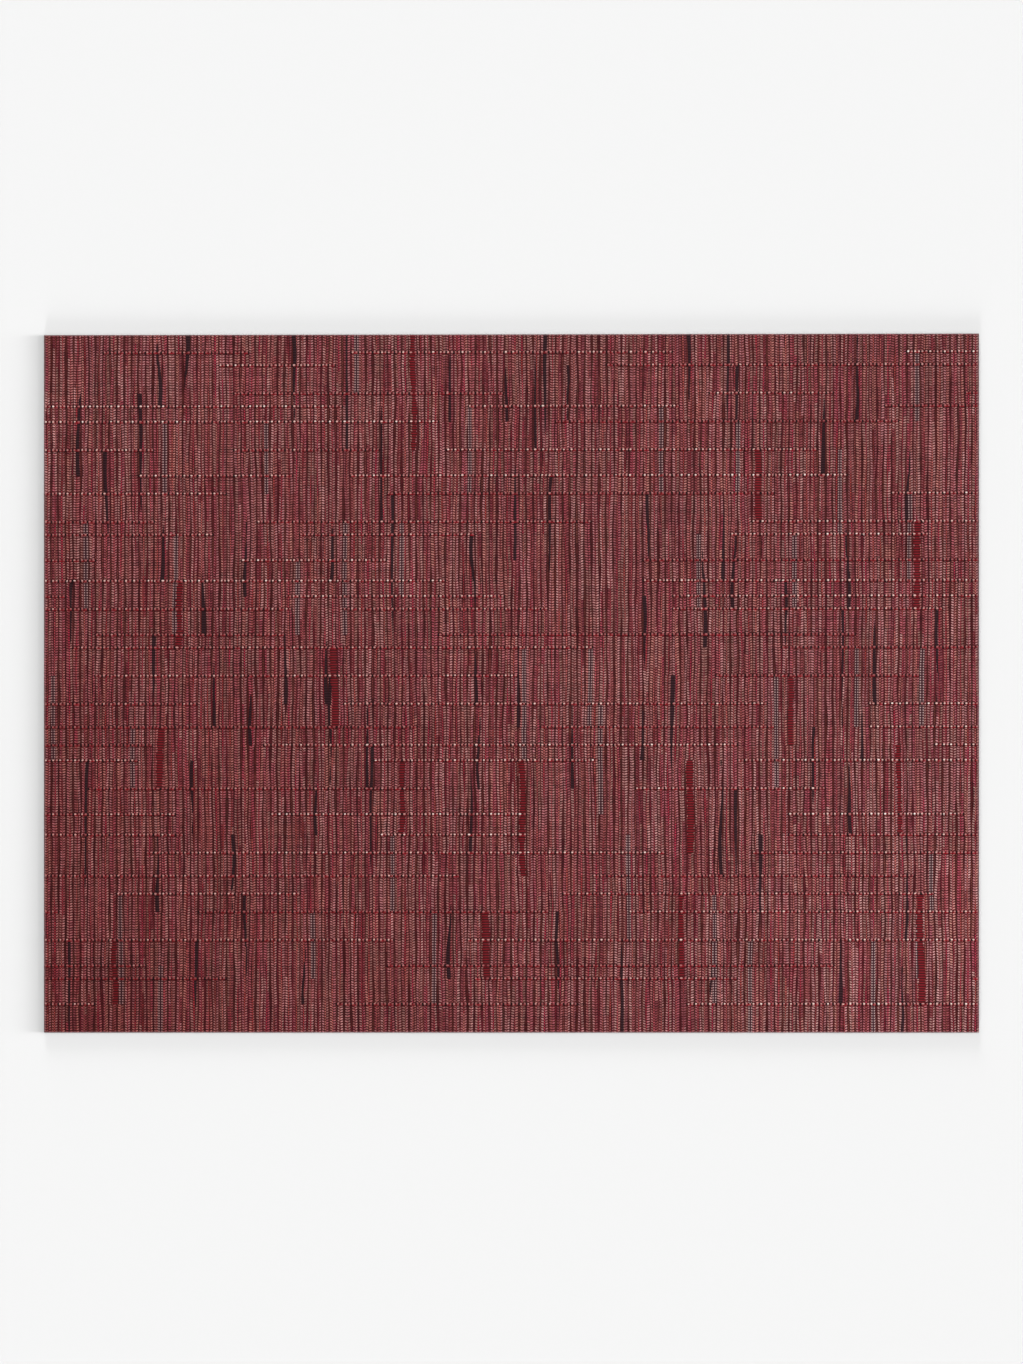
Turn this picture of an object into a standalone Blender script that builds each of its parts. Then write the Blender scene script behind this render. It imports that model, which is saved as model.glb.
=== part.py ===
"""Woven placemat, lying flat: one cloth, cut to a rectangle and left without a hem.

Metres, +Z up. The origin is the centre of the underside, where the mat rests on the table.
+X runs along the long side, with the ribs side by side, and +Y along the ribs, towards the back edge.
"""

import math

import bpy

# Driving dimensions
WIDTH = 0.480  # the long side, across the ribs
DEPTH = 0.3588  # the short side, along the ribs, at the right-hand end
THICKNESS = 0.0015  # the cloth over the crowns of its ribs
RIB_COUNT = 128  # groups of four warp yarns, each group standing as one rib
GROOVE_DEPTH = 0.0003  # how far the top face dips between two ribs
CROWN_SHARE = 0.5  # of a rib's width that is level, where a plate stands
SHOULDER_STEPS = 2  # straight steps from a groove up to a crown
BACK_EDGE_RUN_OUT = 0.00085  # how much shorter the mat is cut at its left-hand end

# Worked out from the driving dimensions
RIB_WIDTH = WIDTH / RIB_COUNT
SHOULDER_WIDTH = RIB_WIDTH * (1 - CROWN_SHARE) / 2

WELD_DISTANCE = 0.00001  # joins the section's end caps to its walls

CLOTH_COLOUR = (0.155, 0.047, 0.049, 1.0)
CLOTH_ROUGHNESS = 0.55


def clear_scene():
    for obj in list(bpy.data.objects):
        bpy.data.objects.remove(obj)


def make_collection(name):
    collection = bpy.data.collections.new(name)
    bpy.context.scene.collection.children.link(collection)
    return collection


def make_cloth_material():
    """Vinyl-coated yarn in mixed dark reds: a satin plastic with no metal in it."""
    material = bpy.data.materials.new("woven_yarn")
    material.use_nodes = True
    shader = material.node_tree.nodes["Principled BSDF"]
    shader.inputs["Base Color"].default_value = CLOTH_COLOUR
    shader.inputs["Roughness"].default_value = CLOTH_ROUGHNESS
    shader.inputs["Metallic"].default_value = 0.0
    material.diffuse_color = CLOTH_COLOUR
    return material


def rib_profile():
    """One rib's top line, as (distance from its left groove, height), without its right-hand groove."""
    rise = []
    for step in range(SHOULDER_STEPS + 1):
        share = step / SHOULDER_STEPS
        height = THICKNESS - GROOVE_DEPTH * (1 - math.sin(share * math.pi / 2))
        rise.append((share * SHOULDER_WIDTH, height))
    fall = [(RIB_WIDTH - across, height) for across, height in reversed(rise)]
    return rise + fall[:-1]


def section_outline():
    """The mat's cross-section: the ribbed top from left to right, then back along the flat underside."""
    left = -WIDTH / 2
    outline = []
    for rib in range(RIB_COUNT):
        for across, height in rib_profile():
            outline.append((left + rib * RIB_WIDTH + across, height))
    outline.append((WIDTH / 2, THICKNESS - GROOVE_DEPTH))
    outline.append((WIDTH / 2, 0.0))
    outline.append((left, 0.0))
    return outline


def make_section_curve(outline):
    """The outline as a filled 2D curve, extruded along the ribs to the mat's whole depth."""
    curve = bpy.data.curves.new("mat_section", "CURVE")
    curve.dimensions = "2D"
    curve.fill_mode = "BOTH"
    curve.extrude = DEPTH / 2
    spline = curve.splines.new("POLY")
    spline.points.add(len(outline) - 1)
    for point, (across, height) in zip(spline.points, outline):
        point.co = (across, height, 0.0, 1.0)
    spline.use_cyclic_u = True
    section = bpy.data.objects.new("mat_section", curve)
    section.rotation_euler = (math.pi / 2, 0.0, 0.0)
    bpy.context.scene.collection.objects.link(section)
    bpy.context.view_layer.update()
    return section


def mesh_from_curve(section):
    """The evaluated curve as a mesh object, turned to its place, with its loose end caps welded on."""
    graph = bpy.context.evaluated_depsgraph_get()
    mesh = bpy.data.meshes.new_from_object(section.evaluated_get(graph))
    mesh.transform(section.matrix_world)
    bpy.data.objects.remove(section)
    mat = bpy.data.objects.new("mat", mesh)
    weld = mat.modifiers.new("weld_caps", "WELD")
    weld.merge_threshold = WELD_DISTANCE
    return mat


def trim_back_edge(mesh):
    """The back edge isn't quite square to the sides: it falls away towards the left-hand end."""
    for vertex in mesh.vertices:
        if vertex.co.y > 0:
            vertex.co.y -= BACK_EDGE_RUN_OUT * (0.5 - vertex.co.x / WIDTH)


def build_mat(collection):
    mat = mesh_from_curve(make_section_curve(section_outline()))
    trim_back_edge(mat.data)
    mat.data.materials.clear()
    mat.data.materials.append(make_cloth_material())
    collection.objects.link(mat)
    return mat


clear_scene()
build_mat(make_collection("placemat"))
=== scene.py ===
# %% [markdown]
# # A woven table mat, yarn by yarn
# The mat is one flat cloth, woven from satin synthetic yarn in mixed dark reds. The warp yarns run
# up the picture in groups of four. The cross yarns, which a weaver calls picks, run from side to side.
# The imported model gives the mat's true size and place, so it is loaded first and never moved.

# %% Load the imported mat
import math
from collections import namedtuple

import bpy
import numpy as np
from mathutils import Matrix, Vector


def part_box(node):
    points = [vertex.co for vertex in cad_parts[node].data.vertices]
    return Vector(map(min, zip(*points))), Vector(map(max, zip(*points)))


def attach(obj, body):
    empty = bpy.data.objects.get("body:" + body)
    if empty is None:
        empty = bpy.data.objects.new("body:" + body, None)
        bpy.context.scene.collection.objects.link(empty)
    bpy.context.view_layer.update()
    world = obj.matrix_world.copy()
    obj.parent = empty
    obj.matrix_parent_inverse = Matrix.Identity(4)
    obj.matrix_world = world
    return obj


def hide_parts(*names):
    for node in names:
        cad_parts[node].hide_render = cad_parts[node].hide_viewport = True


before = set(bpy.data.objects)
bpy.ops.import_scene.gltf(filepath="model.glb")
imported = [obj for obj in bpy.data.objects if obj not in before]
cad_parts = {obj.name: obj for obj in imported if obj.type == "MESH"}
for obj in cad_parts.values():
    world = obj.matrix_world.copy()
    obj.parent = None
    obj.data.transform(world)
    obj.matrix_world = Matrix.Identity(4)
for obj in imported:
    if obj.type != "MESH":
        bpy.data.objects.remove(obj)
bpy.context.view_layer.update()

mat_low, mat_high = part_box("mat")
WIDTH = mat_high.x - mat_low.x
DEPTH = mat_high.y - mat_low.y
THICKNESS = mat_high.z - mat_low.z
print(f"the mat is {WIDTH * 1000:.1f} x {DEPTH * 1000:.1f} x {THICKNESS * 1000:.1f} mm")

# %% [markdown]
# ## Counting the yarns
# A weave is a count before it is a shape. The cloth has 128 groups of four warp ends, each group
# standing as one fine rib, and 272 pairs of picks. Each end crosses each pick once, so an end number
# and a pick number name every crossing of the cloth. All the work below uses those two numbers.

# %% Yarn counts and pitches
GROUPS = 128
ENDS_PER_GROUP = 4
ENDS = GROUPS * ENDS_PER_GROUP
PICKS = 544
END_PITCH = WIDTH / ENDS
PICK_PITCH = DEPTH / PICKS
BACK_EDGE_RUN_OUT = 0.00085  # the back edge falls away by this much towards the left-hand end
print(f"one end every {END_PITCH * 1000:.3f} mm, one pick every {PICK_PITCH * 1000:.3f} mm")

# %% [markdown]
# ## The camera
# The picture looks straight down. A long lens from a good height keeps the mat's sides parallel, as
# they are in the picture, and its distance follows from how much of the table the frame takes in.

# %% Camera straight above
LENS = 85.0
SENSOR = 36.0
VIEW_HEIGHT = 0.7001  # how much of the table the frame's long side shows
CAMERA_Y = 0.00054  # the mat's middle isn't quite the frame's

camera_data = bpy.data.cameras.new("camera")
camera_data.lens = LENS
camera_data.sensor_width = SENSOR
camera = bpy.data.objects.new("camera", camera_data)
bpy.context.scene.collection.objects.link(camera)
camera_height = THICKNESS + VIEW_HEIGHT * LENS / SENSOR
camera.location = (0.0, CAMERA_Y, camera_height)
bpy.context.scene.camera = camera
print(f"the camera stands {camera_height:.3f} m above the table")

# %% [markdown]
# ## Small helpers for node trees
# Both the cloth's shape and its finish are node trees. These helpers add a node and wire its inputs
# in one line, so that each tree below reads as a list of steps.


# %% Node helpers
def feed(tree, socket, value):
    """A socket's value: another node's output, or a plain value."""
    if isinstance(value, bpy.types.NodeSocket):
        tree.links.new(value, socket)
    else:
        socket.default_value = value


def add(tree, kind, inputs=None, **settings):
    """A new node with its settings made and its inputs fed by name or place."""
    made = tree.nodes.new(kind)
    for name, value in settings.items():
        setattr(made, name, value)
    for key, value in (inputs or {}).items():
        feed(tree, made.inputs[key], value)
    return made


def calc(tree, operation, *values):
    """One step of arithmetic."""
    made = tree.nodes.new("ShaderNodeMath")
    made.operation = operation
    for socket, value in zip(made.inputs, values):
        feed(tree, socket, value)
    return made.outputs[0]


def equals(tree, value, number):
    """1 where a value is the whole number given."""
    return calc(tree, "COMPARE", value, number, 0.1)


def total(tree, *values):
    """The sum of several values."""
    result = values[0]
    for value in values[1:]:
        result = calc(tree, "ADD", result, value)
    return result


def product(tree, *values):
    """Several values multiplied together."""
    result = values[0]
    for value in values[1:]:
        result = calc(tree, "MULTIPLY", result, value)
    return result


def join_xyz(tree, x, y, z):
    return add(tree, "ShaderNodeCombineXYZ", {"X": x, "Y": y, "Z": z}).outputs[0]


def part_xyz(tree, vector):
    return add(tree, "ShaderNodeSeparateXYZ", {"Vector": vector}).outputs


def ask(tree, name, kind, default=None):
    """A named input on the tree itself."""
    socket = tree.interface.new_socket(name, in_out="INPUT", socket_type=kind)
    if default is not None:
        socket.default_value = default
    return socket


def answer(tree, name, kind):
    """A named output on the tree itself."""
    return tree.interface.new_socket(name, in_out="OUTPUT", socket_type=kind)


# %% [markdown]
# ## The woven cloth as geometry
# A plain weave is a chessboard: at each crossing either the warp end or the pick lies on top. The
# cloth could be made from thousands of separate tubes, but a fine grid with one point for each
# crossing has the same hills and valleys with a tenth of the faces. Geometry Nodes build it in chart
# space first, where x is the end, y is the pick and z is 1 on the face and 0 on the back. The rim is
# extruded down to a coarser back and welded there, so the cloth is closed. Only then is every point
# moved from the chart to its real place.

# %% Cloth tree, first half: the closed chart
CHART_WELD = 0.1  # of one crossing
BACK_STEP = 2  # the back has one point for every second end and pick


def grid(tree, across, along, level):
    """A grid in chart space with its first corner at zero."""
    mesh = add(tree, "GeometryNodeMeshGrid", {
        "Size X": across, "Size Y": along,
        "Vertices X": calc(tree, "ADD", across, 1.0),
        "Vertices Y": calc(tree, "ADD", along, 1.0),
    }).outputs["Mesh"]
    corner = join_xyz(tree, calc(tree, "DIVIDE", across, 2.0), calc(tree, "DIVIDE", along, 2.0), level)
    return add(tree, "GeometryNodeSetPosition", {"Geometry": mesh, "Offset": corner}).outputs[0]


def place(tree):
    return part_xyz(tree, add(tree, "GeometryNodeInputPosition").outputs[0])


def step_down(tree, value):
    """The value brought down to the back's coarser step."""
    return calc(tree, "MULTIPLY", calc(tree, "FLOOR", calc(tree, "DIVIDE", value, BACK_STEP)), BACK_STEP)


def closed_chart(tree, ends, picks):
    """Face, rim and back, welded in chart space."""
    face = grid(tree, ends, picks, 1.0)
    beside = add(tree, "GeometryNodeInputMeshEdgeNeighbors").outputs["Face Count"]
    rim = add(tree, "GeometryNodeExtrudeMesh", {
        "Mesh": face, "Selection": equals(tree, beside, 1.0), "Offset Scale": 0.0,
    }, mode="EDGES")
    x, y, _ = place(tree)
    lowered = join_xyz(tree, step_down(tree, x), step_down(tree, y), 0.0)
    walled = add(tree, "GeometryNodeSetPosition", {
        "Geometry": rim.outputs["Mesh"], "Selection": rim.outputs["Top"], "Position": lowered,
    }).outputs[0]
    back = grid(tree, calc(tree, "DIVIDE", ends, BACK_STEP), calc(tree, "DIVIDE", picks, BACK_STEP), 0.0)
    x, y, _ = place(tree)
    spread = join_xyz(tree, calc(tree, "MULTIPLY", x, BACK_STEP), calc(tree, "MULTIPLY", y, BACK_STEP), 0.0)
    back = add(tree, "GeometryNodeSetPosition", {"Geometry": back, "Position": spread}).outputs[0]
    back = add(tree, "GeometryNodeFlipFaces", {"Mesh": back}).outputs[0]
    both = add(tree, "GeometryNodeJoinGeometry")
    tree.links.new(back, both.inputs[0])
    tree.links.new(walled, both.inputs[0])
    return add(tree, "GeometryNodeMergeByDistance", {
        "Geometry": both.outputs[0], "Distance": CHART_WELD,
    }).outputs[0]


# %% [markdown]
# ## Two maps for the finish
# The finish has to know which yarn it is on, so the map called weave holds the end number and the
# pick number. The back's pick numbers are one out, because there the other yarn of each crossing is
# on top. The second map spreads face, back and rim over one square, for a finish that is painted out.

# %% Cloth tree, the maps
FACE_ACROSS = (0.01, 0.62)  # where the face lies on the square, from side to side
BACK_ACROSS = (0.67, 0.99)
ALONG = (0.03, 0.97)  # face and back lie here from front to back
LEFT_WALL = 0.630
RIGHT_WALL = 0.645
FRONT_WALL = 0.005
BACK_WALL = 0.980
WALL_BAND = 0.010  # how wide a rim wall is on the square
HALF_A_STEP = 0.01


def between(tree, value, low, high):
    """The value, from 0 to 1, spread from low to high."""
    return calc(tree, "MULTIPLY_ADD", value, high - low, low)


def on_face_domain(tree, value):
    """The mean of a value over each face."""
    return add(tree, "GeometryNodeFieldOnDomain", {"Value": value}, domain="FACE").outputs[0]


def choose(tree, test, when_false, when_true):
    """One of two values."""
    return add(tree, "GeometryNodeSwitch", {"Switch": test, "False": when_false, "True": when_true},
               input_type="FLOAT").outputs[0]


def keep(tree, geometry, name, value, data_type="FLOAT", domain="POINT"):
    """Writes a value on the mesh under a name."""
    return add(tree, "GeometryNodeStoreNamedAttribute", {
        "Geometry": geometry, "Name": name, "Value": value,
    }, data_type=data_type, domain=domain).outputs[0]


def mapped(tree, geometry, ends, picks):
    """The chart with its two maps written on it."""
    x, y, z = place(tree)
    mean_x, mean_y, mean_z = (on_face_domain(tree, value) for value in (x, y, z))
    on_back = calc(tree, "LESS_THAN", mean_z, HALF_A_STEP)
    on_front = calc(tree, "GREATER_THAN", mean_z, 1.0 - HALF_A_STEP)
    first = add(tree, "NodeGroupInput").outputs["First End"]
    weave = join_xyz(tree, calc(tree, "ADD", x, first), calc(tree, "ADD", y, on_back), 0.0)
    geometry = keep(tree, geometry, "weave", weave, "FLOAT2", "CORNER")

    across = calc(tree, "DIVIDE", x, ends)
    along = calc(tree, "DIVIDE", y, picks)
    u_face = between(tree, across, *FACE_ACROSS)
    u_wall = choose(tree, calc(tree, "LESS_THAN", mean_x, HALF_A_STEP), RIGHT_WALL, LEFT_WALL)
    u_wall = calc(tree, "MULTIPLY_ADD", z, WALL_BAND, u_wall)
    v_flat = between(tree, along, *ALONG)
    v_wall = choose(tree, calc(tree, "LESS_THAN", mean_y, HALF_A_STEP), BACK_WALL, FRONT_WALL)
    v_wall = calc(tree, "MULTIPLY_ADD", z, WALL_BAND, v_wall)
    at_left = calc(tree, "LESS_THAN", mean_x, HALF_A_STEP)
    at_right = calc(tree, "GREATER_THAN", mean_x, calc(tree, "SUBTRACT", ends, HALF_A_STEP))
    at_side = calc(tree, "MAXIMUM", at_left, at_right)
    u_rim = choose(tree, at_side, u_face, u_wall)
    v_rim = choose(tree, at_side, v_wall, v_flat)
    flat = calc(tree, "MAXIMUM", on_back, on_front)
    u_flat = choose(tree, on_back, u_face, between(tree, across, *BACK_ACROSS))
    u = choose(tree, flat, u_rim, u_flat)
    v = choose(tree, flat, v_rim, v_flat)
    return keep(tree, geometry, "OFBake", join_xyz(tree, u, v, 0.0), "FLOAT2", "CORNER")


# %% [markdown]
# ## From the chart to the table
# An end that dives under a pick sits a little lower, and the first end of each group lies in the
# groove between two ribs. Real ends also wander sideways by up to a millimetre as they run, and here
# and there they crowd together. Three noises do this: a broad one and a finer one that move all
# neighbours alike, and a narrow one that crowds them. They fade out at the two side edges, which are
# cut straight.

# %% Cloth tree, second half: real places
FADE_ENDS = 10.0  # the wandering fades out over this many ends at each side
SHARP_ANGLE = math.radians(65)  # keeps the cut edges crisp
BROAD = (16.0, 1.6)  # a noise's scale, and how much longer it is along the ends than across them
FINE = (90.0, 5.0)
NARROW = (320.0, 16.0)
FINE_SHARE = 0.8  # how strong the finer noise is, beside the broad one
THIN_DIP = 0.6  # how far a thin end lies below the crowns, as a share of the bead relief


def wander(tree, x, y, scale, stretch, seed, amount):
    """A broad sideways noise, longer along the ends than across them."""
    spot = join_xyz(tree, x, calc(tree, "DIVIDE", y, stretch), 0.0)
    noise = add(tree, "ShaderNodeTexNoise", {
        "Vector": spot, "W": seed, "Scale": scale, "Detail": 2.0, "Roughness": 0.5,
    }, noise_dimensions="4D").outputs[0]
    return product(tree, calc(tree, "SUBTRACT", noise, 0.5), 2.0, amount)


def woven_cloth_tree():
    """Geometry Nodes for one strip of the cloth."""
    tree = bpy.data.node_groups.new("Woven Cloth", "GeometryNodeTree")
    ask(tree, "Geometry", "NodeSocketGeometry")
    ask(tree, "First End", "NodeSocketFloat", 0.0)
    ask(tree, "Ends", "NodeSocketFloat", 128.0)
    ask(tree, "Picks", "NodeSocketFloat", 544.0)
    ask(tree, "All Ends", "NodeSocketFloat", 512.0)
    ask(tree, "End Pitch", "NodeSocketFloat", 0.001)
    ask(tree, "Pick Pitch", "NodeSocketFloat", 0.001)
    ask(tree, "Thickness", "NodeSocketFloat", 0.0015)
    ask(tree, "Bead Relief", "NodeSocketFloat", 0.0002)
    ask(tree, "Groove Depth", "NodeSocketFloat", 0.0003)
    ask(tree, "Run Out", "NodeSocketFloat", 0.0)
    ask(tree, "Wander", "NodeSocketFloat", 0.0005)
    ask(tree, "Crowding", "NodeSocketFloat", 0.0003)
    ask(tree, "Seed", "NodeSocketFloat", 1.0)
    ask(tree, "Yarn", "NodeSocketMaterial")
    answer(tree, "Geometry", "NodeSocketGeometry")
    given = add(tree, "NodeGroupInput").outputs

    chart = closed_chart(tree, given["Ends"], given["Picks"])
    chart = mapped(tree, chart, given["Ends"], given["Picks"])
    x, y, z = place(tree)
    end = calc(tree, "ADD", x, given["First End"])
    chart = keep(tree, chart, "end", end)
    chart = keep(tree, chart, "pick", y)
    chart = keep(tree, chart, "level", z)
    saved = {
        name: add(tree, "GeometryNodeInputNamedAttribute", {"Name": name}, data_type="FLOAT").outputs[0]
        for name in ("end", "pick", "level")
    }
    end, pick, level = saved["end"], saved["pick"], saved["level"]

    from_left = product(tree, end, given["End Pitch"])
    from_front = product(tree, pick, given["Pick Pitch"])
    half_width = product(tree, given["All Ends"], given["End Pitch"], 0.5)
    half_depth = product(tree, given["Picks"], given["Pick Pitch"], 0.5)

    to_edge = calc(tree, "MINIMUM", end, calc(tree, "SUBTRACT", given["All Ends"], end))
    fade = add(tree, "ShaderNodeMapRange", {"Value": to_edge, "From Max": FADE_ENDS},
               interpolation_type="SMOOTHSTEP").outputs[0]
    finer = product(tree, given["Wander"], FINE_SHARE)
    broad = wander(tree, from_left, from_front, *BROAD, given["Seed"], given["Wander"])
    fine = wander(tree, from_left, from_front, *FINE, given["Seed"], finer)
    crowding = wander(tree, from_left, from_front, *NARROW, given["Seed"], given["Crowding"])
    sideways = product(tree, total(tree, broad, fine, crowding), fade)
    real_x = total(tree, from_left, calc(tree, "MULTIPLY", half_width, -1.0), sideways)

    share_left = calc(tree, "SUBTRACT", 1.0, calc(tree, "DIVIDE", end, given["All Ends"]))
    share_back = calc(tree, "DIVIDE", pick, given["Picks"])
    real_y = total(tree, from_front, calc(tree, "MULTIPLY", half_depth, -1.0),
                   product(tree, given["Run Out"], share_left, share_back, -1.0))

    thin = calc(tree, "SUBTRACT", 1.0, calc(tree, "FLOORED_MODULO", end, 2.0))
    under = calc(tree, "FLOORED_MODULO", calc(tree, "ADD", calc(tree, "SUBTRACT", 1.0, thin), pick), 2.0)
    under = calc(tree, "MAXIMUM", under, product(tree, thin, THIN_DIP))
    in_groove = calc(tree, "LESS_THAN", calc(tree, "FLOORED_MODULO", end, float(ENDS_PER_GROUP)), 0.5)
    dip = calc(tree, "ADD", product(tree, under, given["Bead Relief"]),
               product(tree, in_groove, given["Groove Depth"]))
    face_z = calc(tree, "SUBTRACT", given["Thickness"], dip)
    coarse = calc(tree, "DIVIDE", calc(tree, "ADD", end, pick), float(BACK_STEP))
    back_z = product(tree, calc(tree, "FLOORED_MODULO", coarse, 2.0), given["Bead Relief"])
    real_z = calc(tree, "ADD", product(tree, face_z, level),
                  product(tree, back_z, calc(tree, "SUBTRACT", 1.0, level)))

    laid = add(tree, "GeometryNodeSetPosition", {
        "Geometry": chart, "Position": join_xyz(tree, real_x, real_y, real_z),
    }).outputs[0]
    real = add(tree, "GeometryNodeRealizeInstances", {"Geometry": laid}).outputs[0]
    done = add(tree, "GeometryNodeSetMaterial", {"Geometry": real, "Material": given["Yarn"]}).outputs[0]
    feed(tree, add(tree, "NodeGroupOutput").inputs[0], done)
    return tree


cloth_tree = woven_cloth_tree()
print(f"the cloth tree has {len(cloth_tree.nodes)} nodes")

# %% [markdown]
# ## The weaver's chart of uneven yarns
# What makes this cloth look like cane is its unevenness. Here and there an end swells into a slub, a
# thick stretch 25 to 65 mm long, dark or deep red or pale. Every centimetre or so a thick pick
# comes up to the face for part of the width and dives again. Slubs begin and stop at those picks.
# Their places are drawn by a seeded generator, so the chart is the same on every run.

# %% Thick picks
CHART_SEED = 41
PICK_GAP = (0.005, 0.0155)  # from one thick pick to the next
RUN_LENGTH = (0.055, 0.270)  # how far a thick pick stays on the face
RUN_GAP = (0.025, 0.140)
FAINTEST = 0.35  # how bright the ties of the faintest run are, beside those of the brightest
Run = namedtuple("Run", "pick first_end last_end strength")
chance = np.random.default_rng(CHART_SEED)


def thick_picks():
    """The pick numbers at which a thick pick crosses the cloth."""
    numbers = []
    at = chance.uniform(*PICK_GAP)
    while at < DEPTH - PICK_GAP[0]:
        numbers.append(2 * round(at / PICK_PITCH / 2))
        at += chance.uniform(*PICK_GAP)
    return numbers


def group_edge(distance):
    """The end at the group's edge nearest to a distance from the cloth's left side."""
    return ENDS_PER_GROUP * round(distance / END_PITCH / ENDS_PER_GROUP)


def runs_of(pick):
    """Where one thick pick shows, from left to right."""
    runs = []
    at = -chance.uniform(0.0, RUN_LENGTH[1])
    while at < WIDTH:
        length = chance.uniform(*RUN_LENGTH)
        first, last = group_edge(at), group_edge(at + length)
        if last > 0:
            strength = FAINTEST + (1 - FAINTEST) * chance.random() ** 1.2
            runs.append(Run(pick, max(first, 0), min(last, ENDS), strength))
        at += length + chance.uniform(*RUN_GAP)
    return runs


PICK_NUMBERS = thick_picks()
RUNS = [run for pick in PICK_NUMBERS for run in runs_of(pick)]
print(f"{len(PICK_NUMBERS)} thick picks show in {len(RUNS)} runs")

# %% [markdown]
# The slubs are spread by a jittered grid, at most one to a cell, because a purely random spread
# leaves clumps and bare places that a loom doesn't. Dark slubs are slim, bend a little and thin out
# towards one end. Pale ones are pairs of yarns that run straight. Red ones are broad, and commoner
# towards the front right of the cloth.

# %% Slubs
Slub = namedtuple("Slub", "kind end first_pick last_pick half_width lean sway taper")
SlubKind = namedtuple("SlubKind", "name columns rows half_width share bias tapers")
PAIR_HALF = 1.2  # half the width of a pale pair, in ends
SLUB_KINDS = (
    SlubKind("dark", 15, 7, (0.60, 0.90), 0.80, 0.0, True),
    SlubKind("pale", 11, 6, (PAIR_HALF, PAIR_HALF), 0.55, 0.0, False),
    SlubKind("red", 9, 5, (0.9, 1.4), 0.35, 1.2, False),
)
SLUB_LENGTH = (0.034, 0.064)
KEPT_LENGTH = 0.75 * SLUB_LENGTH[0]  # a slub that its thick picks leave shorter is dropped
LEAN = 3.0  # the range of a slub's lean from foot to head, in ends
SWAY = 0.7  # how far a slub's middle line bends aside, in ends
TAPER = (0.45, 0.3)  # how much a slub thins out: the least, and how much more for the widest
SIDE_MARGIN = 4  # ends at each side of the cloth that have no slub


def nearest_thick_pick(pick):
    return min([0, PICKS, *PICK_NUMBERS], key=lambda number: abs(number - pick))


def slubs_of(kind):
    """One slub for most cells of a jittered grid."""
    slubs = []
    for column in range(kind.columns):
        for row in range(kind.rows):
            across, along, length, size, lean, sway, taper, luck = chance.uniform(size=8)
            end = round((column + across) / kind.columns * ENDS)
            start = (row + along) / kind.rows * DEPTH
            stop = start + SLUB_LENGTH[0] + (SLUB_LENGTH[1] - SLUB_LENGTH[0]) * length ** 1.5
            first = nearest_thick_pick(start / PICK_PITCH)
            last = nearest_thick_pick(stop / PICK_PITCH)
            half_width = kind.half_width[0] + (kind.half_width[1] - kind.half_width[0]) * size
            long_enough = (last - first) * PICK_PITCH > KEPT_LENGTH
            lean, sway = LEAN * (lean - 0.5), 2 * SWAY * (sway - 0.5)
            taper = math.copysign(TAPER[0] + TAPER[1] * size, taper - 0.5)
            if kind.name == "pale":
                lean = sway = 0.0
            if not kind.tapers:
                taper = 0.0
            towards_front_right = 2 * (end / ENDS) * (1 - start / DEPTH) - 0.5
            wanted = kind.share * (1 + kind.bias * towards_front_right)
            if luck < wanted and long_enough and SIDE_MARGIN < end < ENDS - SIDE_MARGIN:
                slubs.append(Slub(kind.name, end, first, last, half_width, lean, sway, taper))
    return slubs


SLUBS = [slub for kind in SLUB_KINDS for slub in slubs_of(kind)]
for kind in SLUB_KINDS:
    print(kind.name, "slubs:", sum(slub.kind == kind.name for slub in SLUBS))

# %% [markdown]
# ## Writing the chart on the cloth
# Each kind of slub becomes a field on the mesh: above one half inside the slub, below it outside,
# and falling evenly from its middle line. The finish cuts it at one half, which gives a crisp, slim,
# tapered edge that runs between the yarns. The same field lifts the mesh, so a slub is a real swelling.

# %% Fields on the mesh
FIELD_SLOPE = 0.5  # how much a field falls over one end or pick
FIELD_FLOOR = -0.5
TAPER_POWER = 1.6  # above 1, a slub keeps its width for longer before it thins out
THICK_HALF = 1.1  # half a thick pick's height, in picks
THICK_REACH = 2.5  # picks past which a thick pick changes nothing
SLUB_LIFT = 0.00022
PICK_LIFT = 0.00016
PUSH_REACH = 5.0  # ends that a slub pushes aside, at each side
SLUB_REACH = 4 * PUSH_REACH  # ends past which a slub changes nothing
PUSH = 0.55  # how far it pushes them, as a share of its own half width


def read(mesh, name):
    """A named float attribute as an array."""
    values = np.empty(len(mesh.vertices), np.float32)
    mesh.attributes[name].data.foreach_get("value", values)
    return values


def write(mesh, name, values):
    """An array as a named float attribute."""
    mesh.attributes.new(name, "FLOAT", "POINT").data.foreach_set("value", values.astype(np.float32))


def swelling(slub, along):
    """The slub's half width, in ends, from its first pick (0) to its last (1)."""
    if slub.taper == 0:
        return np.full(len(along), slub.half_width)
    from_blunt_end = along if slub.taper > 0 else 1 - along
    return slub.half_width * (1 - abs(slub.taper) * from_blunt_end ** TAPER_POWER)


def lay_slubs(kind, end, pick):
    """(field, sideways push in ends) of all the slubs of one kind."""
    field = np.full(len(end), FIELD_FLOOR)
    push = np.zeros(len(end))
    for slub in SLUBS:
        if slub.kind != kind:
            continue
        near = np.flatnonzero((pick >= slub.first_pick) & (pick <= slub.last_pick)
                              & (np.abs(end - slub.end) < SLUB_REACH))
        along = (pick[near] - slub.first_pick) / (slub.last_pick - slub.first_pick)
        half_width = swelling(slub, along)
        away = end[near] - slub.end - slub.lean * (along - 0.5) - slub.sway * np.sin(2 * np.pi * along)
        inside = 0.5 + FIELD_SLOPE * (half_width - np.abs(away))
        field[near] = np.maximum(field[near], inside)
        if kind != "pale":
            push[near] += PUSH * half_width * np.tanh(away) * np.exp(-((away / PUSH_REACH) ** 2))
    return field, push


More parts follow.
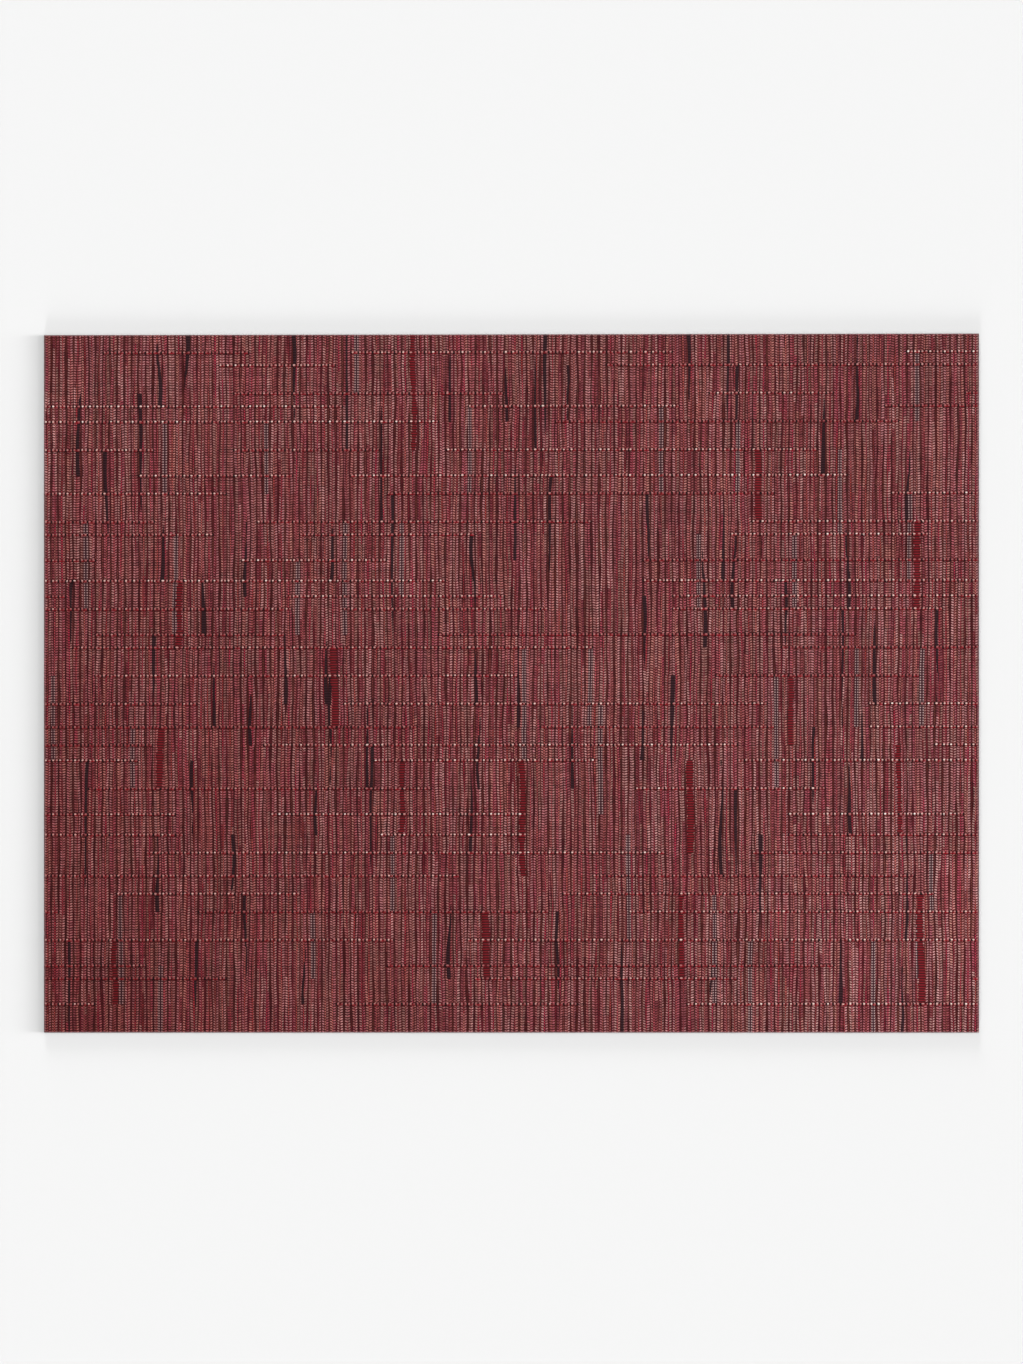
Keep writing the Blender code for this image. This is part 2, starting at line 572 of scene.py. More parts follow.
def lay_runs(end, pick):
    """(field of the thick picks, how bright their ties are)."""
    field = np.full(len(end), FIELD_FLOOR)
    bright = np.zeros(len(end))
    for run in RUNS:
        away = np.abs(pick - run.pick)
        here = (away < THICK_REACH) & (end >= run.first_end) & (end <= run.last_end)
        field[here] = np.maximum(field[here], 0.5 + FIELD_SLOPE * (THICK_HALF - away[here]))
        bright[here] = run.strength
    return field, bright


def bands(end, pick):
    """How many thick picks have crossed each end, counted from the front edge."""
    count = np.zeros(len(end))
    for run in RUNS:
        count += (pick > run.pick) & (end >= run.first_end) & (end <= run.last_end)
    return count


def lay_chart(mesh):
    """Writes slubs and thick picks on one strip and raises them."""
    end, pick, level = (read(mesh, name) for name in ("end", "pick", "level"))
    points = np.empty(len(mesh.vertices) * 3, np.float32)
    mesh.vertices.foreach_get("co", points)
    points = points.reshape(-1, 3)
    fade = np.clip(np.minimum(end, ENDS - end) / FADE_ENDS, 0, 1)
    for kind in SLUB_KINDS:
        field, push = lay_slubs(kind.name, end, pick)
        write(mesh, "slub_" + kind.name, field)
        points[:, 0] += push * END_PITCH * fade
        points[:, 2] += SLUB_LIFT * np.clip(field, 0, 1) * level
    thick, bright = lay_runs(end, pick)
    write(mesh, "thick_pick", thick)
    write(mesh, "tie_brightness", bright)
    write(mesh, "band", bands(end, pick))
    points[:, 2] += PICK_LIFT * np.clip(thick, 0, 1) * level
    mesh.vertices.foreach_set("co", points.ravel())
    for name in ("end", "pick", "level"):
        mesh.attributes.remove(mesh.attributes[name])
    mesh.update()


# %% [markdown]
# ## Shader group: which yarn is on top
# The first group reads the weave map and says, for each point, which end it is on, whether the end
# is over the pick there, and how high the yarn stands. Every second end is wide and shows as slanted
# oval beads, one to each pair of picks. The thin ends between them are red and dark by turns. Beads
# on the two wide ends of a group slant opposite ways, which gives the fine herringbone of the cloth.
# Yarn is never quite even, so a slow noise makes each wide end swell and bend as it runs.


# %% Group: weave crossing
FLOAT = "NodeSocketFloat"
VECTOR = "NodeSocketVector"
WIDE_HALF = 0.62  # half a wide end, in end pitches; a thin one fills the rest
SWELL = 0.8  # how much a wide end's width changes as it runs, in end pitches
BEND = 2.2  # how much it bends aside
SWELL_LENGTH = 45.0  # in picks
OWN_NOISE = 7.3  # sets the ends so far apart in the noise that each has its own
LEAN_IN = 0.05  # the two wide ends of a group lean away from the dark end between the groups
WIDE_BEAD = 0.62  # half a bead's length on a wide end, in picks
THIN_BEAD = 0.74  # and on a thin one
BEAD_SIDES = 6.0  # the power that squares off a bead's sides
CROSS_HALF = 0.5  # half of what shows of a pick between two beads, in picks


def group(name, inputs, outputs):
    """An empty shader group with named sockets."""
    tree = bpy.data.node_groups.new(name, "ShaderNodeTree")
    for label, kind, default in inputs:
        ask(tree, label, kind, default)
    for label in outputs:
        answer(tree, label, FLOAT)
    return tree, add(tree, "NodeGroupInput").outputs, add(tree, "NodeGroupOutput").inputs


def share_of(tree, offset, half):
    """How far out a point is, from 0 in the middle to 1 at the half size, to either side."""
    return calc(tree, "ABSOLUTE", calc(tree, "DIVIDE", offset, half))


def dome(tree, offset, half):
    """1 at an offset of zero, falling to zero at the half size and below zero past it."""
    return calc(tree, "SUBTRACT", 1.0, calc(tree, "POWER", share_of(tree, offset, half), 2.0))


def rounded(tree, value):
    """The height of a round yarn, from the value of its dome."""
    return calc(tree, "SQRT", calc(tree, "MAXIMUM", value, 0.0))


def mix_values(tree, fac, first, second):
    return add(tree, "ShaderNodeMix", {0: fac, 2: first, 3: second}).outputs[0]


def lot(tree, number):
    """A random value from 0 to 1 that belongs to a number."""
    return add(tree, "ShaderNodeTexWhiteNoise", {"W": number}, noise_dimensions="1D").outputs["Value"]


def lots(tree, x, y, z):
    """Random values that belong to three numbers: one as Value, three as Color."""
    return add(tree, "ShaderNodeTexWhiteNoise", {"Vector": join_xyz(tree, x, y, z)},
               noise_dimensions="3D").outputs


def nearest(tree, value, step):
    """The nearest whole multiple of a step."""
    return calc(tree, "MULTIPLY", calc(tree, "ROUND", calc(tree, "DIVIDE", value, step)), step)


def nearest_odd(tree, value):
    return calc(tree, "ADD", nearest(tree, calc(tree, "SUBTRACT", value, 1.0), 2.0), 1.0)


def weave_crossing_group():
    tree, given, out = group("Weave Crossing", (
        ("Weave", VECTOR, None), ("Slant", FLOAT, 0.28), ("Scatter", FLOAT, 1.1),
    ), ("End", "Wide", "Bead", "Cross", "Warp Shows"))
    x, y, _ = part_xyz(tree, given["Weave"])
    thin_end = nearest(tree, x, 2.0)
    wide_end = nearest_odd(tree, x)
    from_thin = calc(tree, "SUBTRACT", x, thin_end)
    turn = calc(tree, "SINE", product(tree, wide_end, math.pi / 2))
    run = join_xyz(tree, product(tree, wide_end, OWN_NOISE), calc(tree, "DIVIDE", y, SWELL_LENGTH), 0.0)
    change = add(tree, "ShaderNodeTexNoise", {"Vector": run, "Scale": 1.0, "Detail": 1.0}).outputs["Color"]
    swell, bend, _ = part_xyz(tree, change)
    half = calc(tree, "MULTIPLY_ADD", calc(tree, "SUBTRACT", swell, 0.5), SWELL, WIDE_HALF)
    bent = product(tree, calc(tree, "SUBTRACT", bend, 0.5), BEND)
    aside = total(tree, bent, product(tree, turn, LEAN_IN))
    from_wide = calc(tree, "SUBTRACT", x, calc(tree, "ADD", wide_end, aside))
    is_wide = calc(tree, "LESS_THAN", calc(tree, "ABSOLUTE", from_wide), half)
    end = mix_values(tree, is_wide, thin_end, wide_end)
    across = mix_values(tree, is_wide, calc(tree, "DIVIDE", from_thin, calc(tree, "SUBTRACT", 1.0, half)),
                        calc(tree, "DIVIDE", from_wide, half))
    across = calc(tree, "MAXIMUM", -1.0, calc(tree, "MINIMUM", 1.0, across))
    late = product(tree, calc(tree, "SUBTRACT", lot(tree, end), 0.5), given["Scatter"])
    slanted = product(tree, turn, is_wide, given["Slant"], across)
    beat = total(tree, y, slanted, late, calc(tree, "MULTIPLY", is_wide, -1.0))
    along = calc(tree, "SUBTRACT", beat, nearest(tree, beat, 2.0))
    oval = calc(tree, "SUBTRACT", dome(tree, along, mix_values(tree, is_wide, THIN_BEAD, WIDE_BEAD)),
                calc(tree, "POWER", calc(tree, "ABSOLUTE", across), BEAD_SIDES))
    gap = calc(tree, "SUBTRACT", 1.0, calc(tree, "ABSOLUTE", along))
    feed(tree, out["End"], end)
    feed(tree, out["Wide"], is_wide)
    feed(tree, out["Bead"], rounded(tree, oval))
    feed(tree, out["Cross"], rounded(tree, dome(tree, gap, CROSS_HALF)))
    feed(tree, out["Warp Shows"], calc(tree, "GREATER_THAN", oval, 0.0))
    return tree


# %% [markdown]
# ## Shader group: level bars
# Within a slub all ends rise over the same picks, so it shows level bars. A pale slub is a pair of
# yarns, and each bar of it is two dots, one to either side of its middle line. The depth input is
# how far inside the slub a point is, in ends.


# %% Group: level bars
BAR_HALF = 0.62  # half a bar's height, in picks
DOT_PLACE = 0.75  # a dot's distance from the pair's middle line
DOT_HALF = 0.40
DOT_SIDES = 3.0  # the power that shapes a dot's sides


def level_bars_group():
    tree, given, out = group("Level Bars", (("Weave", VECTOR, None), ("Depth", FLOAT, 0.0)), ("Bar", "Dot"))
    _, y, _ = part_xyz(tree, given["Weave"])
    bar = dome(tree, calc(tree, "SUBTRACT", y, nearest_odd(tree, y)), BAR_HALF)
    across = share_of(tree, calc(tree, "SUBTRACT", given["Depth"], PAIR_HALF - DOT_PLACE), DOT_HALF)
    feed(tree, out["Bar"], rounded(tree, bar))
    dot = calc(tree, "SUBTRACT", bar, calc(tree, "POWER", across, DOT_SIDES))
    feed(tree, out["Dot"], rounded(tree, dot))
    return tree


# %% [markdown]
# ## Shader group: the thick pick
# A thick pick dips under the dark end of each group, and a wide end ties it down in nearly every
# group. Each tie is a small bright dot on its upper half.


# %% Group: thick pick
TIE_RISE = 0.38  # how far a tie stands above the thick pick's middle, in picks
TIE_HALF = (0.56, 0.72)  # half a tie, in ends and in picks
RIDGE_DROP = 0.40  # how far the thick pick's crown shows below its middle line, in picks
RIDGE_HALF = 0.95
DIP_HALF = 0.8  # half the width of its dip under a dark end, in ends


def thick_pick_group():
    tree, given, out = group("Thick Pick", (("Weave", VECTOR, None),), ("Ridge", "Tie", "Tie End", "Dip"))
    x, y, _ = part_xyz(tree, given["Weave"])
    along = calc(tree, "SUBTRACT", y, nearest(tree, y, 2.0))
    tie_end = nearest_odd(tree, x)
    to_tie = share_of(tree, calc(tree, "SUBTRACT", along, TIE_RISE), TIE_HALF[1])
    tie = calc(tree, "SUBTRACT", dome(tree, calc(tree, "SUBTRACT", x, tie_end), TIE_HALF[0]),
               calc(tree, "POWER", to_tie, 2.0))
    from_dark_end = calc(tree, "SUBTRACT", x, nearest(tree, x, float(ENDS_PER_GROUP)))
    feed(tree, out["Ridge"], rounded(tree, dome(tree, calc(tree, "ADD", along, RIDGE_DROP), RIDGE_HALF)))
    feed(tree, out["Tie"], rounded(tree, tie))
    feed(tree, out["Tie End"], tie_end)
    feed(tree, out["Dip"], calc(tree, "MAXIMUM", dome(tree, from_dark_end, DIP_HALF), 0.0))
    return tree


# %% [markdown]
# ## Shader group: yarn that changes colour as it runs
# Space-dyed yarn keeps one tone for a few centimetres and then changes. This group cuts each yarn
# into stretches of its own length and gives each stretch three random numbers. The step input moves
# the cuts, so that many columns change their tone where a thick pick crosses them.


# %% Group: dyed stretches
SCATTER = 1000.0  # spreads the yarns' starting points, in picks
STEP_SHIFT = 23.0  # how far one step moves the cuts, in picks


def dyed_stretch_group():
    tree, given, out = group("Dyed Stretch", (
        ("Yarn", FLOAT, 0.0), ("Place", FLOAT, 0.0), ("Step", FLOAT, 0.0),
        ("Shortest", FLOAT, 16.0), ("Spread", FLOAT, 90.0), ("Seed", FLOAT, 0.0),
    ), ("Tone", "Hue", "Depth"))
    start, longer, _ = part_xyz(tree, lots(tree, given["Yarn"], given["Seed"], 0.5)["Color"])
    length = calc(tree, "MULTIPLY_ADD", longer, given["Spread"], given["Shortest"])
    start = product(tree, start, SCATTER)
    moved = total(tree, given["Place"], start, product(tree, given["Step"], STEP_SHIFT))
    stretch = calc(tree, "FLOOR", calc(tree, "DIVIDE", moved, length))
    dyed = lots(tree, given["Yarn"], stretch, given["Seed"])["Color"]
    for label, value in zip(("Tone", "Hue", "Depth"), part_xyz(tree, dyed)):
        feed(tree, out[label], value)
    return tree


crossing_group = weave_crossing_group()
bars_group = level_bars_group()
thick_group = thick_pick_group()
stretch_group = dyed_stretch_group()
for shared in (crossing_group, bars_group, thick_group, stretch_group):
    print("group", shared.name, "has", len(shared.nodes), "nodes")

# %% [markdown]
# ## The yarns' colours
# A group of four ends is dark, rose, red, rose. Each has a short ramp of the tones that the yarn
# takes, and its dyed stretches pick a tone from the ramp. The pick is a deep brownish red. Tones are
# written as screen colours, which are easy to judge, and turned into linear light for nodes.


# %% Colour helpers
def linear(red, green, blue):
    """A screen colour, 0 to 255, as the linear colour that nodes use."""
    return tuple(
        c / 12.92 if c <= 0.04045 else ((c + 0.055) / 1.055) ** 2.4
        for c in (red / 255, green / 255, blue / 255)
    ) + (1.0,)


def ramp(tree, fac, colours):
    """A ramp with its colours evenly spaced."""
    made = tree.nodes.new("ShaderNodeValToRGB")
    feed(tree, made.inputs[0], fac)
    stops = made.color_ramp.elements
    while len(stops) < len(colours):
        stops.new(0.5)
    for number, colour in enumerate(colours):
        stops[number].position = number / (len(colours) - 1)
        stops[number].color = linear(*colour)
    return made.outputs[0]


def blend(tree, fac, first, second):
    """Two colours mixed."""
    made = tree.nodes.new("ShaderNodeMix")
    made.data_type = "RGBA"
    feed(tree, made.inputs["Factor"], fac)
    for socket, value in zip([s for s in made.inputs if s.type == "RGBA"], (first, second)):
        feed(tree, socket, value)
    return next(s for s in made.outputs if s.type == "RGBA")


def shaded(tree, colour, height, hollow, top):
    """A colour scaled by the yarn's height, which paints shade on it, or by another value: by hollow where
    it is 0 and by top where it is 1.
    """
    level = calc(tree, "MULTIPLY_ADD", height, top - hollow, hollow)
    return add(tree, "ShaderNodeVectorMath", {0: colour, "Scale": level}, operation="SCALE").outputs[0]


def use(tree, shared, **inputs):
    """A shared group placed in a tree."""
    made = tree.nodes.new("ShaderNodeGroup")
    made.node_tree = shared
    for key, value in inputs.items():
        feed(tree, made.inputs[key.replace("_", " ")], value)
    return made.outputs


def field(tree, name):
    """A field that is written on the mesh."""
    return add(tree, "ShaderNodeAttribute", attribute_name=name).outputs["Fac"]


# %% Palettes
ROSE = (
    (106, 44, 52), (156, 102, 104), (122, 82, 76), (168, 118, 116), (138, 66, 76), (158, 102, 95),
    (118, 52, 58), (148, 104, 100), (142, 60, 72),
)
RED = (
    (122, 28, 42), (148, 64, 70), (92, 20, 28), (152, 80, 76), (128, 44, 42), (142, 38, 58),
    (100, 32, 32), (144, 84, 78), (130, 30, 46),
)
DARK = (
    (50, 8, 9), (72, 26, 20), (46, 4, 12), (88, 44, 36), (44, 6, 5), (90, 16, 30), (54, 28, 22),
    (104, 48, 46), (58, 12, 12),
)
CROSS = ((64, 10, 12), (78, 18, 23), (55, 8, 10), (86, 30, 27), (70, 9, 17))
HOLLOW_SHADE = (58, 9, 12)  # painted shade at a bead's rim, where it dives between picks
SLUB_COLOURS = {  # over its bars, and between them; blended along each bar's roundness, which paints shade down its sides
    "dark": ((60, 30, 37), (36, 11, 15)),
    "pale": ((198, 158, 155), (60, 25, 32)),
    "red": ((130, 26, 34), (62, 12, 16)),
}
THICK_PICK = ((120, 6, 18), (78, 6, 12), (140, 10, 26), (60, 6, 10), (126, 12, 22))
THICK_DIP = (24, 4, 7)  # where it dives under a dark end: the dark end, near black with painted shade in the dip
# the ties: the rose yarn's tone, lifted to near white by painted highlight in the brightest runs
TIE = ((128, 44, 50), (176, 108, 106), (230, 186, 176), (254, 240, 232))

# %% [markdown]
# ## The yarn's material
# One material covers face, back and rim, because all three are the same yarns. The colour is chosen
# yarn by yarn, painted shade darkens each yarn towards its rim and the hollows between yarns, and the
# beads' roundness goes to the bump. Every bead also gets a random brightness of its own, partly its
# tone and partly a painted highlight, because real beads catch the light one by one.


# %% Material, the common weave
BEAD_SHADE = (1.12, 1.96)  # random tone and painted highlight: the dullest and the brightest bead, beside the palettes' tones
BEAD_LEAST = 0.06  # how much of its colour a bead keeps at its rim, under the painted shade
CROSS_SHADE = (0.62, 1.0)  # painted shade: a pick at its edge, and on its crown
CROSS_LEVEL = 0.4  # how high a pick stands, beside a bead
CROSS_DEPTH = (0.93, 1.07)  # from one stretch of a pick to the next


def common_weave(tree, weave, step):
    """(colour, height) of the cloth away from slubs and thick picks."""
    cross = use(tree, crossing_group, Weave=weave)
    x, y, _ = part_xyz(tree, weave)
    streak = use(tree, stretch_group, Yarn=cross["End"], Place=y, Step=step, Seed=3.0)
    picked = use(tree, stretch_group, Yarn=nearest(tree, y, 2.0), Place=x,
                 Shortest=16.0, Spread=60.0, Seed=5.0)
    bead = lots(tree, cross["End"], nearest_odd(tree, y), 0.5)["Value"]
    of_group = calc(tree, "FLOORED_MODULO", cross["End"], float(ENDS_PER_GROUP))
    is_red = equals(tree, of_group, 2.0)
    thin = blend(tree, is_red, ramp(tree, streak["Hue"], DARK), ramp(tree, streak["Tone"], RED))
    warp = blend(tree, cross["Wide"], thin, ramp(tree, streak["Tone"], ROSE))
    # each bead a random brightness: partly its own tone, partly painted highlight
    warp = shaded(tree, warp, bead, *BEAD_SHADE)
    # painted shade: each bead darkens towards its rim, where it dives
    warp = blend(tree, between(tree, cross["Bead"], BEAD_LEAST, 1.0), linear(*HOLLOW_SHADE), warp)
    # painted shade: each pick darkens towards its edges
    weft = shaded(tree, ramp(tree, picked["Tone"], CROSS), cross["Cross"], *CROSS_SHADE)
    colour = blend(tree, cross["Warp Shows"], weft, warp)
    level = product(tree, cross["Cross"], CROSS_LEVEL)
    height = mix_values(tree, cross["Warp Shows"], level, cross["Bead"])
    return shaded(tree, colour, picked["Depth"], *CROSS_DEPTH), height


# %% [markdown]
# ## Slubs and thick picks in the material
# These could be meshes of their own, but they are the same yarns as the rest, so they are laid over
# the common weave in its material, wherever the fields on the mesh say. A thick pick lies over all
# else, because a slub begins or stops there. Its ties differ in brightness, partly in the yarn's tone
# and partly by painted highlight, which is near white in the brightest runs.

# %% Material, slubs and thick picks
UNEVEN_BARS = 0.7  # how much a red slub's bars differ in length, in ends
SLUB_SHADE = (0.80, 1.0)  # painted shade: at a slub's edge, and one end further in
SECOND_TIE = 0.6  # how bright the tie on a group's second wide end is, beside the first's
TIE_LEAST = 0.25  # how bright the dullest tie of a run is, beside its brightest
TIE_SHADE = (0.6, 1.1)  # painted shade at a tie's edge and painted highlight in its middle
RIDGE_SHADE = (0.30, 1.0)  # painted shade: the thick pick at its edge, and on its crown


def with_slubs(tree, weave, colour, height):
    """The same, with the slubs laid over it."""
    _, y, _ = part_xyz(tree, weave)
    uneven = product(tree, calc(tree, "SUBTRACT", lot(tree, nearest_odd(tree, y)), 0.5), UNEVEN_BARS)
    for kind in SLUB_KINDS:
        past_edge = calc(tree, "SUBTRACT", field(tree, "slub_" + kind.name), 0.5)
        depth = calc(tree, "DIVIDE", past_edge, FIELD_SLOPE)
        if kind.name == "red":
            depth = calc(tree, "ADD", depth, uneven)
        inside = calc(tree, "GREATER_THAN", depth, 0.0)
        bars = use(tree, bars_group, Weave=weave, Depth=depth)
        shape = bars["Dot"] if kind.name == "pale" else bars["Bar"]
        over, under = (linear(*shade) for shade in SLUB_COLOURS[kind.name])
        inward = calc(tree, "MINIMUM", depth, 1.0)
        # painted shade: darker at the slub's edge and down the sides of each bar
        laid = shaded(tree, blend(tree, shape, under, over), inward, *SLUB_SHADE)
        colour = blend(tree, inside, colour, laid)
        height = mix_values(tree, inside, height, shape)
    return colour, height


def with_thick_picks(tree, weave, colour, height):
    """The same, with the thick picks laid over it."""
    pick = use(tree, thick_group, Weave=weave)
    inside = calc(tree, "GREATER_THAN", field(tree, "thick_pick"), 0.5)
    _, y, _ = part_xyz(tree, weave)
    tint = use(tree, stretch_group, Yarn=pick["Tie End"], Place=y, Shortest=1.0, Spread=2.0, Seed=9.0)
    # the dip under each dark end: the dark yarn, deepened by painted shade
    body = blend(tree, pick["Dip"], ramp(tree, tint["Hue"], THICK_PICK), linear(*THICK_DIP))
    # painted shade: the thick pick darkens towards its edges
    body = shaded(tree, body, pick["Ridge"], *RIDGE_SHADE)
    of_group = calc(tree, "FLOORED_MODULO", pick["Tie End"], float(ENDS_PER_GROUP))
    own = mix_values(tree, calc(tree, "GREATER_THAN", of_group, 2.0), 1.0, SECOND_TIE)
    bright = product(tree, own, between(tree, tint["Tone"], TIE_LEAST, 1.0), field(tree, "tie_brightness"))
    # a tie: yarn tone with painted highlight, and painted shade at its edge
    tie = shaded(tree, ramp(tree, bright, TIE), pick["Tie"], *TIE_SHADE)
    body = blend(tree, calc(tree, "GREATER_THAN", pick["Tie"], 0.0), body, tie)
    raised = calc(tree, "MAXIMUM", pick["Ridge"], pick["Tie"])
    return blend(tree, inside, colour, body), mix_values(tree, inside, height, raised)


# %% [markdown]
# ## The whole finish
# Three broad effects come last. Patches of the cloth are a little lighter or darker than others.
# Painted light and shade run along the front edge, lighter to the right and darker to the left, and
# fade towards the back. And the cut has left the outermost yarns paler, which draws the fine light
# line round a mat without a hem. The satin yarn is rough enough for no clear highlight, and its
# specular level is low, because each bead shades its neighbours.

# %% Material, put together
PATCH_ENDS = 12.0  # a broad patch of lighter or darker cloth is this wide
PATCH_SHADE = (0.94, 1.06)
CUT_WIDTH = 0.9  # how far the cut reaches into the cloth, in yarns
CUT_YARN = (138, 100, 102)
CUT_SHARE = 0.45  # how much of that colour the cut yarns take
ROUGHNESS = (0.44, 0.56)
SPECULAR_LEVEL = 0.08
BUMP_STRENGTH = 0.6
BUMP_DISTANCE = 0.0002
SIDE_LIGHT_FACTORS = (0.27, 0.45, 0.45)  # painted light and shade: lighter and less red to the front right, darker to the front left


def at_cut_edge(tree, x, y):
    """1 on the outermost yarns of the cloth, 0 elsewhere."""
    to_side = calc(tree, "MINIMUM", x, calc(tree, "SUBTRACT", float(ENDS), x))
    to_end = calc(tree, "MINIMUM", y, calc(tree, "SUBTRACT", float(PICKS), y))
    return calc(tree, "LESS_THAN", calc(tree, "MINIMUM", to_side, to_end), CUT_WIDTH)


def painted_side_light(tree):
    """Painted light and shade across the cloth, as a factor for each colour channel."""
    at = add(tree, "ShaderNodeTexCoord").outputs["Object"]
    x, y, _ = part_xyz(tree, at)
    forward = calc(tree, "SUBTRACT", 0.5, calc(tree, "DIVIDE", y, DEPTH))
    amount = product(tree, forward, calc(tree, "DIVIDE", x, WIDTH / 2))
    change = add(tree, "ShaderNodeVectorMath", {0: SIDE_LIGHT_FACTORS, "Scale": amount}, operation="SCALE").outputs[0]
    return add(tree, "ShaderNodeVectorMath", {0: change, 1: (1.0, 1.0, 1.0)}, operation="ADD").outputs[0]


def yarn_material():
    material = bpy.data.materials.new("woven_yarn")
    material.use_nodes = True
    tree = material.node_tree
    weave = add(tree, "ShaderNodeUVMap", uv_map="weave").outputs[0]
    step = calc(tree, "ROUND", field(tree, "band"))
    x, y, _ = part_xyz(tree, weave)
    colour, height = common_weave(tree, weave, step)
    colour, height = with_slubs(tree, weave, colour, height)
    colour, height = with_thick_picks(tree, weave, colour, height)
    patch_number = calc(tree, "FLOOR", calc(tree, "DIVIDE", x, PATCH_ENDS))
    patch = use(tree, stretch_group, Yarn=patch_number, Place=y, Step=step,
                Shortest=60.0, Spread=160.0, Seed=8.0)
    colour = shaded(tree, colour, patch["Tone"], *PATCH_SHADE)
    # painted light and shade: lighter to the front right, darker to the front left, fading towards the back
    colour = add(tree, "ShaderNodeVectorMath", {0: colour, 1: painted_side_light(tree)}, operation="MULTIPLY").outputs[0]
    colour = blend(tree, product(tree, at_cut_edge(tree, x, y), CUT_SHARE), colour, linear(*CUT_YARN))
    bump = add(tree, "ShaderNodeBump", {
        "Strength": BUMP_STRENGTH, "Distance": BUMP_DISTANCE, "Height": height,
    })
    shader = tree.nodes["Principled BSDF"]
    shader.inputs["Specular IOR Level"].default_value = SPECULAR_LEVEL
    feed(tree, shader.inputs["Base Color"], colour)
    feed(tree, shader.inputs["Roughness"], between(tree, patch["Depth"], *ROUGHNESS))
    feed(tree, shader.inputs["Normal"], bump.outputs[0])
    return material


yarn = yarn_material()
print(f"the yarn material has {len(yarn.node_tree.nodes)} nodes")

# %% [markdown]
# ## Weaving the strips
# The whole cloth at one point a crossing is some seven hundred thousand triangles, so it is made as
# four strips that meet in the grooves between ribs, where the join can't be seen. The modifier's
# inputs are set by the identifiers of its sockets, and the result is taken as a plain mesh.

# %% Weave four strips
STRIPS = ("left", "middle_left", "middle_right", "right")
STRIP_ENDS = ENDS // len(STRIPS)
CLOTH_INPUTS = {
    "Ends": float(STRIP_ENDS), "Picks": float(PICKS), "All Ends": float(ENDS), "End Pitch": END_PITCH,
    "Pick Pitch": PICK_PITCH, "Thickness": THICKNESS, "Bead Relief": 0.00020, "Groove Depth": 0.00020,
    "Run Out": BACK_EDGE_RUN_OUT, "Wander": 0.0011, "Crowding": 0.0006, "Seed": 4.0, "Yarn": yarn,
}


def identifiers(tree):
    """The identifier of each of the tree's inputs."""
    return {item.name: item.identifier for item in tree.interface.items_tree if item.in_out == "INPUT"}


def weave_strip(name, first_end):
    """One strip of cloth as a finished mesh object."""
    maker = bpy.data.objects.new("maker", bpy.data.meshes.new("maker"))
    bpy.context.scene.collection.objects.link(maker)
    modifier = maker.modifiers.new("weave", "NODES")
    modifier.node_group = cloth_tree
    known = identifiers(cloth_tree)
    for label, value in {**CLOTH_INPUTS, "First End": float(first_end)}.items():
        modifier[known[label]] = value
    graph = bpy.context.evaluated_depsgraph_get()
    mesh = bpy.data.meshes.new_from_object(maker.evaluated_get(graph))
    bpy.data.objects.remove(maker)
    lay_chart(mesh)
    mesh.set_sharp_from_angle(angle=SHARP_ANGLE)
    strip = bpy.data.objects.new("cloth_" + name, mesh)
    bpy.context.scene.collection.objects.link(strip)
    return strip


strips = [weave_strip(name, number * STRIP_ENDS) for number, name in enumerate(STRIPS)]
for strip in strips:
    print(strip.name, len(strip.data.vertices), "points,", len(strip.data.polygons), "faces")

# %% [markdown]
# ## Table and light
# The picture is a packshot: a pale table and soft light from all round. A white world and one broad
# sun, high up, light the cloth evenly, which a lamp near it wouldn't. On the table the mat throws a
# soft shadow, strongest along its left side. Suns low enough for that would rake the weave and
# double its relief. A photographer flags such a light off the cloth, and light linking does the
# same: the low suns reach the table alone.
#
# The yarns are about one pixel wide, so the denoiser takes its guide passes as they are. Smoothing
# them first wipes out the weave's rows.

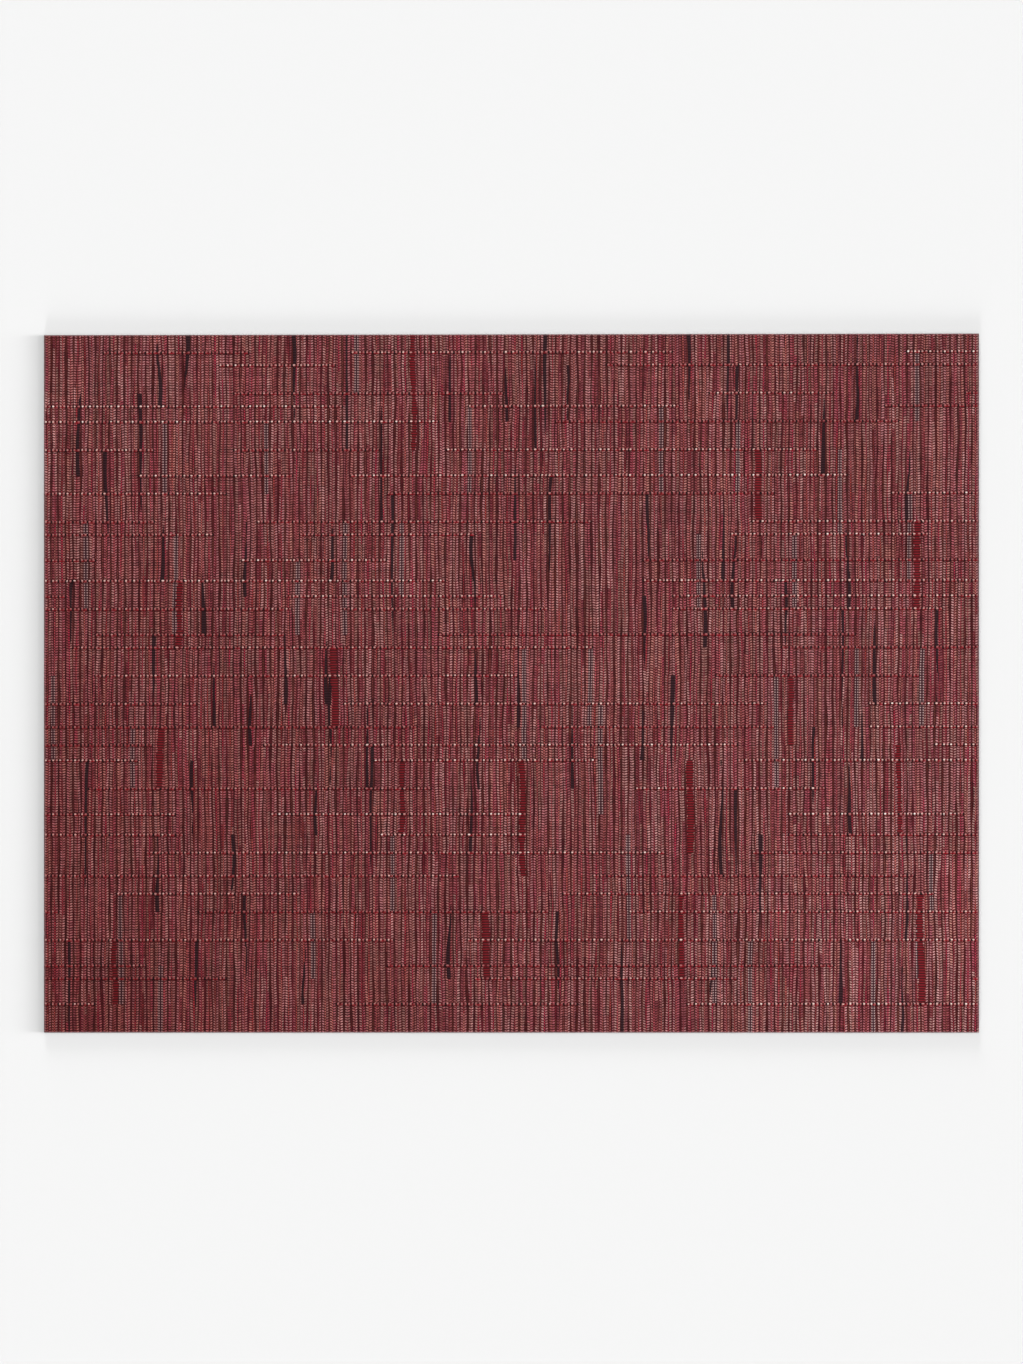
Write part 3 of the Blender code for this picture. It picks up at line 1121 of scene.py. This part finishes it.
# %% Table, suns and world
FLOOR_SIZE = 30.0  # so wide that a low view doesn't see its edge
FLOOR_COLOUR = (0.431, 0.431, 0.431, 1.0)
WORLD_STRENGTH = 0.48
Sun = namedtuple("Sun", "name azimuth elevation strength angle flagged")
SUNS = (  # angles in degrees
    Sun("overhead", 60.0, 72.0, 1.66, 40.0, False),
    Sun("right", 0.0, 14.0, 5.2, 26.0, True),
    Sun("low_right", 0.0, 6.0, 9.0, 10.0, True),
    Sun("low_back", 97.0, 6.0, 7.0, 10.0, True),
    Sun("low_front", -97.0, 6.0, 7.0, 10.0, True),
)


def make_floor():
    half = FLOOR_SIZE / 2
    corners = [(-half, -half, 0.0), (half, -half, 0.0), (half, half, 0.0), (-half, half, 0.0)]
    mesh = bpy.data.meshes.new("table")
    mesh.from_pydata(corners, [], [(0, 1, 2, 3)])
    material = bpy.data.materials.new("table")
    material.use_nodes = True
    shader = material.node_tree.nodes["Principled BSDF"]
    shader.inputs["Base Color"].default_value = FLOOR_COLOUR
    shader.inputs["Roughness"].default_value = 0.9
    shader.inputs["Specular IOR Level"].default_value = 0.0
    mesh.materials.append(material)
    floor = bpy.data.objects.new("table", mesh)
    bpy.context.scene.collection.objects.link(floor)
    return floor


def make_sun(sun, table_only):
    data = bpy.data.lights.new(sun.name, "SUN")
    data.energy = sun.strength
    data.angle = math.radians(sun.angle)
    lamp = bpy.data.objects.new(sun.name, data)
    lamp.rotation_euler = (math.radians(90 - sun.elevation), 0.0, math.radians(sun.azimuth + 90))
    if sun.flagged:
        lamp.light_linking.receiver_collection = table_only
    bpy.context.scene.collection.objects.link(lamp)


floor = make_floor()
table_only = bpy.data.collections.new("table_only")
table_only.objects.link(floor)
for sun in SUNS:
    make_sun(sun, table_only)
world = bpy.data.worlds.new("studio")
world.use_nodes = True
background = world.node_tree.nodes["Background"]
background.inputs["Color"].default_value = (1.0, 1.0, 1.0, 1.0)
background.inputs["Strength"].default_value = WORLD_STRENGTH
bpy.context.scene.world = world
bpy.context.scene.view_settings.view_transform = "Standard"
bpy.context.scene.cycles.denoising_prefilter = "NONE"
print(f"{len(SUNS)} suns, of which {sum(sun.flagged for sun in SUNS)} reach the table alone")

# %% [markdown]
# ## Handing over
# Each strip stands for the plain mat of the imported model, which is hidden, and rides on its one body.

for strip in strips:
    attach(strip, "root")
    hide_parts("mat")
